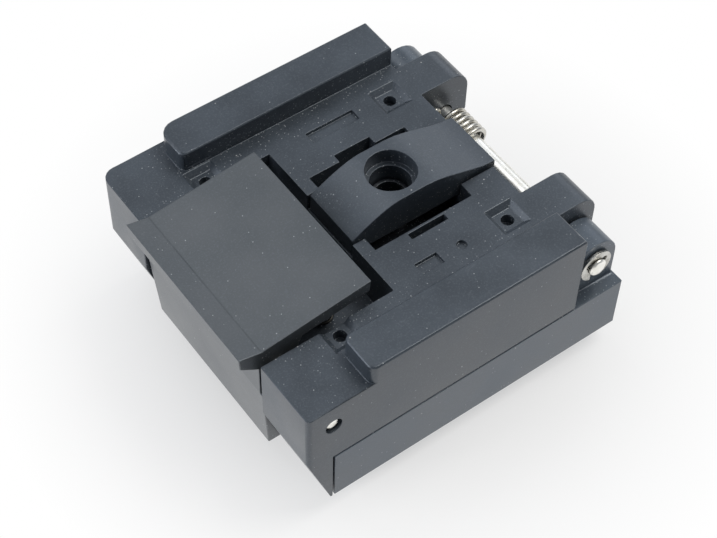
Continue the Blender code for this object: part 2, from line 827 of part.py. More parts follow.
def sweep(name, path, radius, sides):
    """Round wire along a path of points, with flat ends."""
    path = [Vector(point) for point in path]
    along = (path[1] - path[0]).normalized()
    across = along.orthogonal().normalized()
    rings = []
    for i, point in enumerate(path):
        before = (point - path[i - 1]).normalized() if i else along
        after = (path[i + 1] - point).normalized() if i + 1 < len(path) else before
        along = (before + after).normalized()
        across = (across - along * across.dot(along)).normalized()
        aside = along.cross(across)
        rings.append([point + across * x + aside * y for x, y in circle(0, 0, radius, sides)])
    bm = bmesh.new()
    link_rings(bm, rings)
    return new_object(name, bm)


def compression_spring(name, x, y, span, outer_radius, wire, turns, steel):
    """Upright coil whose ends lie flat between the two heights."""
    low = span[0] + wire / 2
    rise = span[1] - span[0] - wire
    steps = int(turns * 10)
    radius = outer_radius - wire / 2
    path = []
    for i in range(steps + 1):
        share = i / steps
        turn = 2 * math.pi * turns * share
        path.append((x + radius * math.cos(turn), y + radius * math.sin(turn), low + rise * share))
    return finish(sweep(name, path, wire / 2, 5), steel, 80)


def make_hinge_spring(steel):
    """Torsion coil round the pin: one leg goes up into the lid, the other down into the base."""
    steps = coil_turns * coil_steps
    path = [(lid_middle_end - coil_leg, coil_back, leg_height),
            (coil_x - coil_leg_ease, coil_back, leg_height),
            (coil_x, coil_back, leg_height - coil_leg_ease)]
    for i in range(steps + 1):
        turn = math.pi + 2 * math.pi * i / coil_steps
        path.append((hinge_x + coil_centre_radius * math.cos(turn),
                     coil_back - coil_pitch * i / coil_steps,
                     hinge_z + coil_centre_radius * math.sin(turn)))
    path.append((coil_x, coil_front, base_height - coil_seat_depth + touch_gap))
    return finish(sweep("hinge_spring", path, coil_wire / 2, 6), steel, 80)


# Pressure pad

def make_pad(plastic):
    short = pad_half - pad_corner
    arms = [((-pad_half, pad_half), (-short, short)), ((-short, short), (-pad_half, pad_half))]
    pad = box("pressure_pad", *arms[0], (pad_foot, pad_top))
    inside = pad_half - pad_wall
    join(pad, box("arm", *arms[1], (pad_foot, pad_top)),
         post("stem", 0, 0, stem_radius, (pad_top - rooting, stem_top), 32))
    cut(pad,
        box("inside", (-inside, inside), (-inside, inside), (pad_foot - 1, pad_inside)),
        post("stem_bore", 0, 0, stem_radius - stem_wall, (pad_inside - 1, stem_top + 1), 28),
        *[post("pin_hole", side * pad_pin_x, 0, pad_pin_radius + slip_gap,
               (pad_inside - 1, pad_top + 1), 14) for side in (-1, 1)])
    return finish(pad, plastic, 30)


def make_pad_pin(name, side, steel):
    """Headed pin in the bridge that carries the pad's roof and guides its spring."""
    head_top = pad_inside - touch_gap
    stations = [(head_top - pad_pin_head, pad_pin_head_radius), (head_top, pad_pin_head_radius),
                (head_top, pad_pin_radius), (bridge_under + pad_pin_grip, pad_pin_radius)]
    return finish(turned_bar(name, (side * pad_pin_x, 0), stations, "z", 16), steel, 30)


def main():
    clear_scene()
    lid_plastic = make_material("lid plastic", (0.060, 0.063, 0.072), 0.55)
    base_plastic = make_material("base plastic", (0.085, 0.092, 0.105), 0.6)
    lever_plastic = make_material("lever plastic", (0.095, 0.092, 0.094), 0.55)
    pad_plastic = make_material("pad plastic", (0.035, 0.035, 0.038), 0.5)
    nest_plastic = make_material("nest plastic", (0.12, 0.10, 0.07), 0.5)
    pin_steel = make_material("pin steel", (0.62, 0.62, 0.60), 0.28, 1.0)
    spring_steel = make_material("spring steel", (0.50, 0.50, 0.49), 0.32, 1.0)
    ring_steel = make_material("ring steel", (0.42, 0.43, 0.44), 0.35, 1.0)
    contact_gold = make_material("contact gold", (0.80, 0.58, 0.28), 0.3, 1.0)

    hinge = joint_empty("lid_hinge", (hinge_x, 0, hinge_z))
    latch = joint_empty("latch_hinge", (latch_x, 0, latch_z), hinge)
    slide = joint_empty("pad_slide", (0, 0, pad_foot), hinge)

    make_base(base_plastic)
    make_nest(nest_plastic)
    for quarter, side in enumerate(("hinge_side", "back", "latch_side", "front")):
        make_contact_strip("contacts_" + side, quarter, nest_plastic, contact_gold)
    make_hinge_pin(pin_steel)
    make_e_ring("e_ring_front", -1, ring_steel)
    make_e_ring("e_ring_back", 1, ring_steel)
    make_hinge_spring(spring_steel)

    under_plate = plate_top_at(latch_spring_x - latch_spring_radius) - plate_thickness - touch_gap
    latch_springs = [compression_spring("latch_spring_" + side, latch_spring_x, y * latch_spring_y,
                                        (latch_well_floor + touch_gap, under_plate), latch_spring_radius,
                                        latch_spring_wire, latch_spring_turns, spring_steel)
                     for side, y in (("front", -1), ("back", 1))]
    hang_on(hinge, make_lid(lid_plastic), make_bridge(lid_plastic), make_latch_pin(pin_steel),
            *latch_springs)
    hang_on(latch, make_lever(lever_plastic))

    pad_springs = [compression_spring("pad_spring_" + side, x * pad_pin_x, 0,
                                      (pad_top + touch_gap, bridge_under - touch_gap), pad_spring_radius,
                                      pad_spring_wire, pad_spring_turns, spring_steel)
                   for side, x in (("latch_side", -1), ("hinge_side", 1))]
    pad_pins = [make_pad_pin("pad_pin_" + side, x, pin_steel)
                for side, x in (("latch_side", -1), ("hinge_side", 1))]
    hang_on(slide, make_pad(pad_plastic))
    hang_on(hinge, *pad_springs, *pad_pins)


main()
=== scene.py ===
import json
import math

import bmesh
import bpy
from mathutils import Matrix, Vector


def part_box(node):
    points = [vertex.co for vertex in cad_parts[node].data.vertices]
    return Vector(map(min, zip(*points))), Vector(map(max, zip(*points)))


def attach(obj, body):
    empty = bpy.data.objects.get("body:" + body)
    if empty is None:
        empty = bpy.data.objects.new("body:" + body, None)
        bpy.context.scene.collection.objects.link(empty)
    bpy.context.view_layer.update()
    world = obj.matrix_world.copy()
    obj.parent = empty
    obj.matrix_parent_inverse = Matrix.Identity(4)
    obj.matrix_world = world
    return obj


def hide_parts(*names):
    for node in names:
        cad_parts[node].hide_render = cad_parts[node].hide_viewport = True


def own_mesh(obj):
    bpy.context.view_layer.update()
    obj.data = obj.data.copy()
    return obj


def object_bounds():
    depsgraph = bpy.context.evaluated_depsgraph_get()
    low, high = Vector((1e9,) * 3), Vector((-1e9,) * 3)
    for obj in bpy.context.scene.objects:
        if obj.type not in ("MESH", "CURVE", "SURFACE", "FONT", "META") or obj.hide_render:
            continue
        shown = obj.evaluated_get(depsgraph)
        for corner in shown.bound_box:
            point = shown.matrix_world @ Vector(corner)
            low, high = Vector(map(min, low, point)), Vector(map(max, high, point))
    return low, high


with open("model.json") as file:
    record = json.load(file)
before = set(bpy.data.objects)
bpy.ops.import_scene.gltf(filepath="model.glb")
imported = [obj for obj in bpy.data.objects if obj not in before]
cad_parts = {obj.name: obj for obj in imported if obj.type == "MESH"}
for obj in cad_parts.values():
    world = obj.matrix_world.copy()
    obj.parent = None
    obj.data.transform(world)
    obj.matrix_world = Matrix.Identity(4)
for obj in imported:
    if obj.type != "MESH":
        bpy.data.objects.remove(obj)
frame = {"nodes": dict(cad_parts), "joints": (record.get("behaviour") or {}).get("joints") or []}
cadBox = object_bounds()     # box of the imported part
mm = 0.001
hingeAxis = next(Vector(joint["pos_m"]) for joint in frame["joints"] if joint["name"] == "lid_swing")
print("frame loaded")


# Small helpers for node trees

def hexColour(text):
    parts = [int(text[i:i + 2], 16) / 255 for i in (0, 2, 4)]
    return [c / 12.92 if c <= 0.04045 else ((c + 0.055) / 1.055) ** 2.4 for c in parts] + [1.0]


def addNode(tree, kind, settings=None, links=None):
    node = tree.nodes.new(kind)
    for name, value in (settings or {}).items():
        if isinstance(name, int) or name in node.inputs:
            node.inputs[name].default_value = value
        else:
            setattr(node, name, value)
    for name, source in (links or {}).items():
        tree.links.new(source, node.inputs[name])
    return node


def newMaterial(name):
    material = bpy.data.materials.new(name)
    material.use_nodes = True
    return material, material.node_tree, material.node_tree.nodes["Principled BSDF"]


def spread(tree, source, low, high, toLow, toHigh):
    # one value from another, clamped between toLow and toHigh
    settings = {"From Min": low, "From Max": high, "To Min": toLow, "To Max": toHigh}
    return addNode(tree, "ShaderNodeMapRange", settings, {"Value": source}).outputs["Result"]


def mixColours(tree, share, a, b):
    node = addNode(tree, "ShaderNodeMix", {"data_type": "RGBA"}, {"Factor": share})
    for socket, colour in ((6, a), (7, b)):
        if isinstance(colour, list):
            node.inputs[socket].default_value = colour
        else:
            tree.links.new(colour, node.inputs[socket])
    return node.outputs[2]


# Moulded plastic

def specks(tree, place, corner, dust):
    # how much dust lies at a point: small round spots, some of them left out, and more of them in corners
    cells = addNode(tree, "ShaderNodeTexVoronoi", {"Scale": 1 / (dust["spacing"] * mm)}, {"Vector": place})
    size = dust["size"] / dust["spacing"]
    spot = spread(tree, cells.outputs["Distance"], size * dust["core"], size, dust["strength"], 0.0)
    draw = addNode(tree, "ShaderNodeSeparateColor", links={"Color": cells.outputs["Color"]}).outputs["Red"]
    share = spread(tree, corner, 0.0, 1.0, dust["open"], dust["corner"])
    kept = addNode(tree, "ShaderNodeMath", {"operation": "LESS_THAN"}, {0: draw, 1: share}).outputs[0]
    return addNode(tree, "ShaderNodeMath", {"operation": "MULTIPLY"}, {0: spot, 1: kept}).outputs[0]


def mouldedPlastic(look):
    # Glass-filled polyethersulphone, injection moulded in a spark-eroded tool. To the eye it is a
    # matt charcoal with a fine even grain, faint clouds from the flow, and pale dust that clings to it.
    material, tree, shader = newMaterial(look["name"])
    place = addNode(tree, "ShaderNodeTexCoord").outputs["Object"]
    clouds = addNode(tree, "ShaderNodeTexNoise", {"Scale": 1 / (look["cloudSize"] * mm), "Detail": 3.0,
                     "Roughness": 0.55}, {"Vector": place}).outputs["Fac"]
    grain = addNode(tree, "ShaderNodeTexNoise", {"Scale": 1 / (look["grainSize"] * mm), "Detail": 2.0,
                    "Roughness": 0.7}, {"Vector": place}).outputs["Fac"]
    share = spread(tree, clouds, *look["cloudSpan"], 0.0, 1.0)
    body = mixColours(tree, share, hexColour(look["dark"]), hexColour(look["light"]))
    grit = spread(tree, grain, *look["gritSpan"], 0.0, look["speckle"])
    colour = mixColours(tree, grit, body, hexColour(look["grit"]))
    nearby = addNode(tree, "ShaderNodeAmbientOcclusion", {"Distance": look["cornerReach"] * mm, "samples": 8})
    corner = spread(tree, nearby.outputs["AO"], *look["cornerSpan"], 0.0, 1.0)
    for dust in look["dusts"]:
        colour = mixColours(tree, specks(tree, place, corner, dust), colour, hexColour(dust["colour"]))
    tree.links.new(colour, shader.inputs["Base Color"])
    rough, varied = look["roughness"], look["roughnessVaries"]
    tree.links.new(spread(tree, clouds, *look["roughnessSpan"], rough - varied, rough + varied),
                   shader.inputs["Roughness"])
    shader.inputs["IOR"].default_value = look["ior"]
    shader.inputs["Specular Tint"].default_value = hexColour(look["sheen"])
    bump = addNode(tree, "ShaderNodeBump", {"Strength": look["grainStrength"],
                   "Distance": look["grainDepth"] * mm}, {"Height": grain})
    tree.links.new(bump.outputs["Normal"], shader.inputs["Normal"])
    return material


# Sizes are in mm. A span is the stretch of a pattern's values over which the look changes.
speck = {"core": 0.4, "strength": 0.8}      # the core is the share of a speck's radius that doesn't fade
lint = {**speck, "spacing": 1.5, "size": 0.13, "open": 0.12, "corner": 0.5, "colour": "c4c6c6"}
frost = {**speck, "spacing": 0.4, "size": 0.1, "open": 0.03, "corner": 0.8, "colour": "b2b6b9"}
# Grain is nearer 0.05 mm on the real moulding. It is drawn at 0.25 mm, two pixels of the picture, to show.
plasticLook = {"dark": "30363d", "light": "3a4149", "cloudSize": 7.0, "cloudSpan": (0.35, 0.65),
               "grit": "6a7076", "gritSpan": (0.5, 0.75), "speckle": 0.3,
               "grainSize": 0.25, "grainStrength": 0.35, "grainDepth": 0.03,
               "roughness": 0.34, "roughnessVaries": 0.05, "roughnessSpan": (0.3, 0.7),
               "ior": 1.65, "sheen": "e9f1fa",
               "cornerReach": 6.0, "cornerSpan": (0.95, 0.55), "dusts": [lint, frost]}
# the base is the lid's moulding painted lighter, standing in for the bright floor reflected in its faces
basePlasticPaintedLight = mouldedPlastic({**plasticLook, "name": "moulded PES, base, painted lighter", "dark": "434c56",
                              "light": "4e5863"})
lidPlastic = mouldedPlastic({**plasticLook, "name": "moulded PES, lid"})
leverPlastic = mouldedPlastic({**plasticLook, "name": "moulded PES, lever", "dark": "424649",
                               "light": "4e5154", "cloudSize": 11.0,
                               "dusts": [{**lint, "open": 0.05}, {**frost, "corner": 0.45}]})
padPlastic = mouldedPlastic({**plasticLook, "name": "moulded PES, pad", "dark": "202327", "light": "292c31"})
nestPlastic = mouldedPlastic({**plasticLook, "name": "moulded PES, nest", "dark": "4d4638",
                              "light": "595142", "grit": "7d745f"})


# Metals

def groundMetal(look):
    # Metal that was ground, drawn or stamped, left bare or plated. To the eye it is bright by its skin, or
    # dark where its colour is painted shade, slightly stained, with fine lines along the way it was worked.
    material, tree, shader = newMaterial(look["name"])
    place = addNode(tree, "ShaderNodeTexCoord").outputs["Object"]
    stretched = addNode(tree, "ShaderNodeMapping", {"Scale": [1 / (size * mm) for size in look["lines"]]},
                        {"Vector": place}).outputs["Vector"]
    lines = addNode(tree, "ShaderNodeTexNoise", {"Scale": 1.0, "Detail": 3.0, "Roughness": 0.6},
                    {"Vector": stretched}).outputs["Fac"]
    stain = addNode(tree, "ShaderNodeTexNoise", {"Scale": 1 / (look["stainSize"] * mm), "Detail": 4.0},
                    {"Vector": place}).outputs["Fac"]
    share = spread(tree, stain, *look["stainSpan"], 0.0, 1.0)
    colour = mixColours(tree, share, hexColour(look["bright"]), hexColour(look["dull"]))
    tree.links.new(colour, shader.inputs["Base Color"])
    shader.inputs["Metallic"].default_value = 1.0
    smoothest, roughest = look["roughness"] - look["smoother"], look["roughness"] + look["rougher"]
    tree.links.new(spread(tree, lines, *look["lineSpan"], smoothest, roughest), shader.inputs["Roughness"])
    bump = addNode(tree, "ShaderNodeBump", {"Strength": look["lineStrength"],
                   "Distance": look["lineDepth"] * mm}, {"Height": lines})
    tree.links.new(bump.outputs["Normal"], shader.inputs["Normal"])
    return material


# "lines" gives the size of the pattern along x, y and z in mm
metalLook = {"lines": (0.3, 0.3, 0.3), "lineSpan": (0.3, 0.7), "lineStrength": 0.25, "lineDepth": 0.01,
             "smoother": 0.06, "rougher": 0.08, "stainSize": 1.8, "stainSpan": (0.4, 0.68)}
pinSteel = groundMetal({**metalLook, "name": "ground stainless steel", "bright": "faf9f4", "dull": "e4e1d8",
                        "roughness": 0.34, "lines": (3.0, 0.12, 3.0), "lineDepth": 0.02})
springSteel = groundMetal({**metalLook, "name": "drawn music wire", "bright": "cfcdc6", "dull": "a7a295",
                           "roughness": 0.27})
# the latch and pad springs' wire is painted dark, standing in for the shade in the gap under the lever
paintedShadeWire = groundMetal({**metalLook, "name": "music wire painted dark as shade", "bright": "4b4a47",
                               "dull": "353432", "roughness": 0.45})
ringSteel = groundMetal({**metalLook, "name": "stamped spring steel", "bright": "c9c8c3", "dull": "a3a19a",
                         "roughness": 0.25, "lines": (0.5, 1.0, 0.5), "lineDepth": 0.02})
contactGold = groundMetal({**metalLook, "name": "gold-plated beryllium copper", "bright": "e3c07c",
                           "dull": "cfa761", "roughness": 0.24, "lines": (0.3, 0.3, 2.0)})
print("materials made")


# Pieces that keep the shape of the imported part

# Lengths are in mm, areas in square mm and angles in degrees. Two flats wider than creaseFlat meet in
# a crease past creaseAngle, and an edge past edgeAngle is rounded.
dressing = {"sameSpot": 0.003, "sameFlat": 0.6, "creaseAngle": 2.0, "creaseFlat": 20.0,
            "edgeAngle": 28, "segments": 2}


def isCrease(edge):
    return (len(edge.link_faces) == 2 and edge.calc_face_angle() > math.radians(dressing["creaseAngle"])
            and all(face.calc_area() > dressing["creaseFlat"] * mm * mm for face in edge.link_faces))


def dressedCopy(node, name, body, slot, material, edge, angle=dressing["edgeAngle"]):
    # A copy of the node with its triangles merged, its sharp edges rounded and its flats shaded flat
    mesh = frame["nodes"][node].data.copy()
    mesh.name = name
    bm = bmesh.new()
    bm.from_mesh(mesh)
    bmesh.ops.remove_doubles(bm, verts=bm.verts, dist=dressing["sameSpot"] * mm)
    bmesh.ops.dissolve_limit(bm, angle_limit=math.radians(dressing["sameFlat"]), verts=bm.verts,
                             edges=bm.edges)
    for line in bm.edges:
        line.smooth = not isCrease(line)
    # a wide flat with holes in it only bevels cleanly as triangles
    bmesh.ops.triangulate(bm, faces=[face for face in bm.faces if len(face.verts) > 4])
    bm.to_mesh(mesh)
    bm.free()
    mesh.materials.clear()
    mesh.materials.append(material)
    for polygon in mesh.polygons:
        polygon.material_index = 0
    mesh.shade_smooth()
    piece = bpy.data.objects.new(name, mesh)
    bpy.context.collection.objects.link(piece)
    bevel = piece.modifiers.new("rounded edges", "BEVEL")
    bevel.width = edge * mm
    bevel.segments = dressing["segments"]
    bevel.limit_method = "ANGLE"
    bevel.angle_limit = math.radians(angle)
    bevel.use_clamp_overlap = False
    bevel.miter_outer = "MITER_ARC"
    bevel.face_strength_mode = "FSTR_ALL"
    flats = piece.modifiers.new("flat faces", "WEIGHTED_NORMAL")
    flats.mode = "CORNER_ANGLE"
    flats.use_face_influence = True
    flats.keep_sharp = True
    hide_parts(node)
    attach(piece, body)


mouldings = {
    "base_housing": {"name": "base_moulding", "body": "base", "slot": "base_plastic",
                     "material": basePlasticPaintedLight, "edge": 0.11},
    "lid_frame": {"name": "lid_moulding", "body": "lid", "slot": "lid_plastic",
                  "material": lidPlastic, "edge": 0.1},
    "pressure_bridge": {"name": "bridge_moulding", "body": "lid", "slot": "lid_plastic",
                        "material": lidPlastic, "edge": 0.1},
    "latch_lever": {"name": "lever_moulding", "body": "lever", "slot": "lever_plastic",
                    "material": leverPlastic, "edge": 0.12, "angle": 12},
    "pressure_pad": {"name": "pad_moulding", "body": "pad", "slot": "pad_plastic",
                     "material": padPlastic, "edge": 0.1},
    "chip_nest": {"name": "nest_moulding", "body": "base", "slot": "nest_plastic",
                  "material": nestPlastic, "edge": 0.04},
}
for node, look in mouldings.items():
    dressedCopy(node, **look)
print("mouldings dressed")

turnedParts = {
    "hinge_pin": {"name": "hinge_pin_ground", "body": "base", "slot": "pin_steel",
                  "material": pinSteel, "edge": 0.08},
    "latch_pin": {"name": "latch_pin_ground", "body": "lid", "slot": "pin_steel",
                  "material": pinSteel, "edge": 0.15},
    "e_ring_front": {"name": "front_ring_stamped", "body": "base", "slot": "ring_steel",
                     "material": ringSteel, "edge": 0.06},
    "e_ring_back": {"name": "back_ring_stamped", "body": "base", "slot": "ring_steel",
                    "material": ringSteel, "edge": 0.06},
    "pad_pin_latch_side": {"name": "pad_pin_left_turned", "body": "lid", "slot": "pin_steel",
                           "material": pinSteel, "edge": 0.06},
    "pad_pin_hinge_side": {"name": "pad_pin_right_turned", "body": "lid", "slot": "pin_steel",
                           "material": pinSteel, "edge": 0.06},
}
for node, look in turnedParts.items():
    dressedCopy(node, **look)
print("pins and rings dressed")


# Geometry Nodes for what repeats or follows a path

def startTree(name, sizes):
    tree = bpy.data.node_groups.new(name, "GeometryNodeTree")
    tree.interface.new_socket("Geometry", in_out="INPUT", socket_type="NodeSocketGeometry")
    for label, kind in sizes.items():
        tree.interface.new_socket(label, in_out="INPUT", socket_type=kind)
    tree.interface.new_socket("Geometry", in_out="OUTPUT", socket_type="NodeSocketGeometry")
    return tree, addNode(tree, "NodeGroupInput"), addNode(tree, "NodeGroupOutput")


def endTree(tree, given, out, geometry):
    # every tree ends as plain mesh with its material on it
    real = addNode(tree, "GeometryNodeRealizeInstances", links={"Geometry": geometry})
    painted = addNode(tree, "GeometryNodeSetMaterial", links={"Geometry": real.outputs[0],
                                                             "Material": given.outputs["Material"]})
    tree.links.new(painted.outputs[0], out.inputs["Geometry"])


def runTree(tree, name, path, values):
    # a path of points goes through the tree and comes back as a plain mesh
    mesh = bpy.data.meshes.new(name)
    mesh.from_pydata([Vector(point) for point in path], [(i, i + 1) for i in range(len(path) - 1)], [])
    piece = bpy.data.objects.new(name, mesh)
    bpy.context.collection.objects.link(piece)
    step = piece.modifiers.new(tree.name, "NODES")
    step.node_group = tree
    for item in tree.interface.items_tree:
        if item.in_out == "INPUT" and item.name in values:
            step[item.identifier] = values[item.name]
    graph = bpy.context.evaluated_depsgraph_get()
    made = bpy.data.meshes.new_from_object(piece.evaluated_get(graph))
    piece.modifiers.remove(step)
    piece.data = made
    made.name = name
    return piece


def wireTree():
    # round wire swept along the path, closed at both ends
    tree, given, out = startTree("drawn wire", {"Wire Radius": "NodeSocketFloat", "Sides": "NodeSocketInt",
                                                "Material": "NodeSocketMaterial"})
    curve = addNode(tree, "GeometryNodeMeshToCurve", links={"Mesh": given.outputs["Geometry"]})
    section = addNode(tree, "GeometryNodeCurvePrimitiveCircle",
                      links={"Resolution": given.outputs["Sides"], "Radius": given.outputs["Wire Radius"]})
    wire = addNode(tree, "GeometryNodeCurveToMesh", {"Fill Caps": True},
                   {"Curve": curve.outputs[0], "Profile Curve": section.outputs["Curve"]})
    smooth = addNode(tree, "GeometryNodeSetShadeSmooth", links={"Geometry": wire.outputs[0]})
    endTree(tree, given, out, smooth.outputs[0])
    return tree


def leafTree():
    # one bent leaf, repeated along a side and then on all four sides
    tree, given, out = startTree("contact leaves", {
        "Leaf Width": "NodeSocketFloat", "Leaf Thickness": "NodeSocketFloat",
        "Bend Radius": "NodeSocketFloat", "Count": "NodeSocketInt", "First": "NodeSocketVector",
        "Step": "NodeSocketVector", "Sides": "NodeSocketInt", "Material": "NodeSocketMaterial"})
    curve = addNode(tree, "GeometryNodeMeshToCurve", links={"Mesh": given.outputs["Geometry"]})
    bent = addNode(tree, "GeometryNodeFilletCurve", {"mode": "POLY", "Limit Radius": True, "Count": 3},
                   {"Curve": curve.outputs[0], "Radius": given.outputs["Bend Radius"]})
    section = addNode(tree, "GeometryNodeCurvePrimitiveQuadrilateral",
                      links={"Width": given.outputs["Leaf Thickness"], "Height": given.outputs["Leaf Width"]})
    leaf = addNode(tree, "GeometryNodeCurveToMesh", {"Fill Caps": True},
                   {"Curve": bent.outputs[0], "Profile Curve": section.outputs[0]})
    row = addNode(tree, "GeometryNodeMeshLine", links={"Count": given.outputs["Count"],
                  "Start Location": given.outputs["First"], "Offset": given.outputs["Step"]})
    leaves = addNode(tree, "GeometryNodeInstanceOnPoints",
                     links={"Points": row.outputs[0], "Instance": leaf.outputs[0]})
    corners = addNode(tree, "GeometryNodeMeshLine", {"Offset": (0, 0, 0)}, {"Count": given.outputs["Sides"]})
    index = addNode(tree, "GeometryNodeInputIndex")
    turn = addNode(tree, "ShaderNodeMath", {"operation": "MULTIPLY", 1: math.pi / 2}, {0: index.outputs[0]})
    spin = addNode(tree, "ShaderNodeCombineXYZ", links={"Z": turn.outputs[0]})
    allSides = addNode(tree, "GeometryNodeInstanceOnPoints", links={
        "Points": corners.outputs[0], "Instance": leaves.outputs[0], "Rotation": spin.outputs[0]})
    endTree(tree, given, out, allSides.outputs[0])
    return tree


# Springs

# flatShare of a compression spring's turns lies flat at each end, but for the even climb of evenShare
springLook = {"sides": 14, "pointsPerTurn": 28, "bend": 0.55, "flatShare": 0.12, "evenShare": 0.2}
torsionLook = {"wire": 0.7, "turns": 6, "metal": springSteel}
# the pad and latch springs take the wire painted dark as shade
padSpringLook = {"wire": 0.4, "turns": 3.5, "metal": paintedShadeWire, "joint": "pad_float", "travel": 0.8,
                 "fixedEnd": "top"}
latchSpringLook = {"wire": 0.4, "turns": 6.0, "metal": paintedShadeWire, "joint": "latch_press", "travel": 1.3,
                   "fixedEnd": "bottom"}
wire = wireTree()


def roundCorner(before, corner, after, radius, steps=6):
    # points on the arc that rounds a bend in the wire
    toBefore, toAfter = (before - corner).normalized(), (after - corner).normalized()
    half = toBefore.angle(toAfter) / 2
    centre = corner + (toBefore + toAfter).normalized() * radius / math.sin(half)
    start = corner + toBefore * radius / math.tan(half) - centre
    end = corner + toAfter * radius / math.tan(half) - centre
    axis = start.cross(end).normalized()
    return [centre + Matrix.Rotation(start.angle(end) * i / steps, 3, axis) @ start for i in range(steps + 1)]


def torsionPath(look):
    low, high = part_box("hinge_spring")
    half = look["wire"] / 2 * mm
    radius = high.x - half - hingeAxis.x
    back, front = high.y - half, low.y + half
    side = hingeAxis.x - radius
    steps = look["turns"] * springLook["pointsPerTurn"]
    legEnd = Vector((low.x, back, high.z - half))
    corner = Vector((side, back, high.z - half))
    touch = Vector((side, back, hingeAxis.z))
    path = [legEnd] + roundCorner(legEnd, corner, touch, springLook["bend"] * mm)
    for i in range(steps + 1):
        turn = math.pi + 2 * math.pi * i / springLook["pointsPerTurn"]
        path.append(Vector((hingeAxis.x + radius * math.cos(turn), back + (front - back) * i / steps,
                            hingeAxis.z + radius * math.sin(turn))))
    return path + [Vector((side, front, low.z))]


def compressionPath(node, look):
    # the end turns lie nearly flat and the rest rise evenly
    low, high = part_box(node)
    half = look["wire"] / 2 * mm
    centre = (low + high) / 2
    radius = (high.y - low.y) / 2 - half
    steps = int(look["turns"] * springLook["pointsPerTurn"])
    flat, even = springLook["flatShare"], springLook["evenShare"]
    path = []
    for i in range(steps + 1):
        share = i / steps
        rise = min(max((share - flat) / (1 - 2 * flat), 0), 1)
        rise = (1 - even) * rise + even * share
        turn = 2 * math.pi * look["turns"] * share
        path.append(Vector((centre.x + radius * math.cos(turn), centre.y + radius * math.sin(turn),
                            low.z + half + (high.z - low.z - 2 * half) * rise)))
    return path


def makeWire(name, path, look, node, body):
    piece = runTree(wire, name, path, {"Wire Radius": look["wire"] / 2 * mm, "Sides": springLook["sides"],
                                       "Material": look["metal"]})
    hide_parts(node)
    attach(piece, body)
    return piece


def makeCompressionSpring(node, look):
    # one wound wire, fixed on the lid
    piece = makeWire(node + "_wire", compressionPath(node, look), look, node, "lid")
    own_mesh(piece)


makeWire("hinge_spring_wire", torsionPath(torsionLook), torsionLook, "hinge_spring", "base")
for end in ("front", "back"):
    makeCompressionSpring("latch_spring_" + end, latchSpringLook)
for side in ("latch_side", "hinge_side"):
    makeCompressionSpring("pad_spring_" + side, padSpringLook)
print("springs wound")


# Contacts

# Reaches are from the chip's axis and heights from the base's underside. A rise is above the strip's
# flange, and from the shoulder on above the slots of the comb.
contactLook = {"count": 16, "pitch": 0.8, "width": 0.3, "thickness": 0.25, "bend": 0.35,
               "tailInner": 8.9, "tailOuter": 10.7, "rootRise": 0.2, "slopeRise": 0.75,
               "bow": 10.2, "bowRise": 1.3, "neckIn": 0.25, "neckRise": 2.1,
               "slotTop": 6.6, "shoulderOut": 0.75, "shoulderRise": 0.35,
               "tip": 7.75, "fingerRise": 1.1, "tipHeight": 8.75,
               "stripInner": 8.2, "stripOuter": 11.4, "stripEdge": 0.08,
               "flangeReach": 0.3, "flangeLow": 3.3, "flangeTop": 3.9}
contactNodes = ["contacts_hinge_side", "contacts_back", "contacts_latch_side", "contacts_front"]


def leafSpine(look, tail):
    # from the end of the tail up to the tip that meets the chip's lead
    top, under = look["flangeTop"], look["slotTop"]
    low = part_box("contacts_hinge_side")[0].z / mm
    points = [(tail, low), (tail, top + look["rootRise"]),
              ((look["bow"] + tail) / 2, top + look["slopeRise"]), (look["bow"], top + look["bowRise"]),
              (look["bow"] - look["neckIn"], top + look["neckRise"]),
              (look["tip"] + look["shoulderOut"], under + look["shoulderRise"]),
              (look["tip"], under + look["fingerRise"]), (look["tip"], look["tipHeight"])]
    return [Vector((x, 0, z)) * mm for x, z in points]


def makeLeaves(look):
    # every other leaf has its tail in the outer row
    tree = leafTree()
    pitch = look["pitch"] * mm
    first = -(look["count"] - 1) / 2 * pitch
    tails = {"inner": look["tailInner"], "outer": look["tailOuter"]}
    for offset, (row, tail) in enumerate(tails.items()):
        leaves = runTree(tree, "contact_leaves_" + row, leafSpine(look, tail), {
            "Leaf Width": look["width"] * mm, "Leaf Thickness": look["thickness"] * mm,
            "Bend Radius": look["bend"] * mm, "Count": look["count"] // 2, "Sides": 4,
            "First": (0.0, first + offset * pitch, 0.0), "Step": (0.0, 2 * pitch, 0.0),
            "Material": contactGold})
        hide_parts(*contactNodes)
        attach(leaves, "base")


def makeStrips(look):
    # each strip is a bar with a flange along its top edge
    inner, outer, reach = look["stripInner"], look["stripOuter"], look["flangeReach"]
    section = [(inner, 0), (outer, 0), (outer, look["flangeLow"]), (outer + reach, look["flangeLow"]),
               (outer + reach, look["flangeTop"]), (inner - reach, look["flangeTop"]),
               (inner - reach, look["flangeLow"]), (inner, look["flangeLow"])]
    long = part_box("contacts_hinge_side")[1].y
    bm = bmesh.new()
    for quarter in range(4):
        face = bm.faces.new([bm.verts.new((x * mm, -long, z * mm)) for x, z in section])
        moved = bmesh.ops.extrude_face_region(bm, geom=[face])
        ends = [v for v in moved["geom"] if isinstance(v, bmesh.types.BMVert)]
        bmesh.ops.translate(bm, vec=(0, 2 * long, 0), verts=ends)
        bmesh.ops.rotate(bm, verts=bm.verts, matrix=Matrix.Rotation(math.pi / 2, 3, "Z"))
    bmesh.ops.recalc_face_normals(bm, faces=bm.faces)
    mesh = bpy.data.meshes.new("contact_strips")
    bm.to_mesh(mesh)
    bm.free()
    # the strips share the base plastic that is painted lighter as floor reflection
    mesh.materials.append(basePlasticPaintedLight)
    strips = bpy.data.objects.new("contact_strips", mesh)
    bpy.context.collection.objects.link(strips)
    bevel = strips.modifiers.new("rounded edges", "BEVEL")
    bevel.width = look["stripEdge"] * mm
    bevel.segments = dressing["segments"]
    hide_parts(*contactNodes)
    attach(strips, "base")


makeLeaves(contactLook)
makeStrips(contactLook)
print("contacts made")


# Camera, floor and light

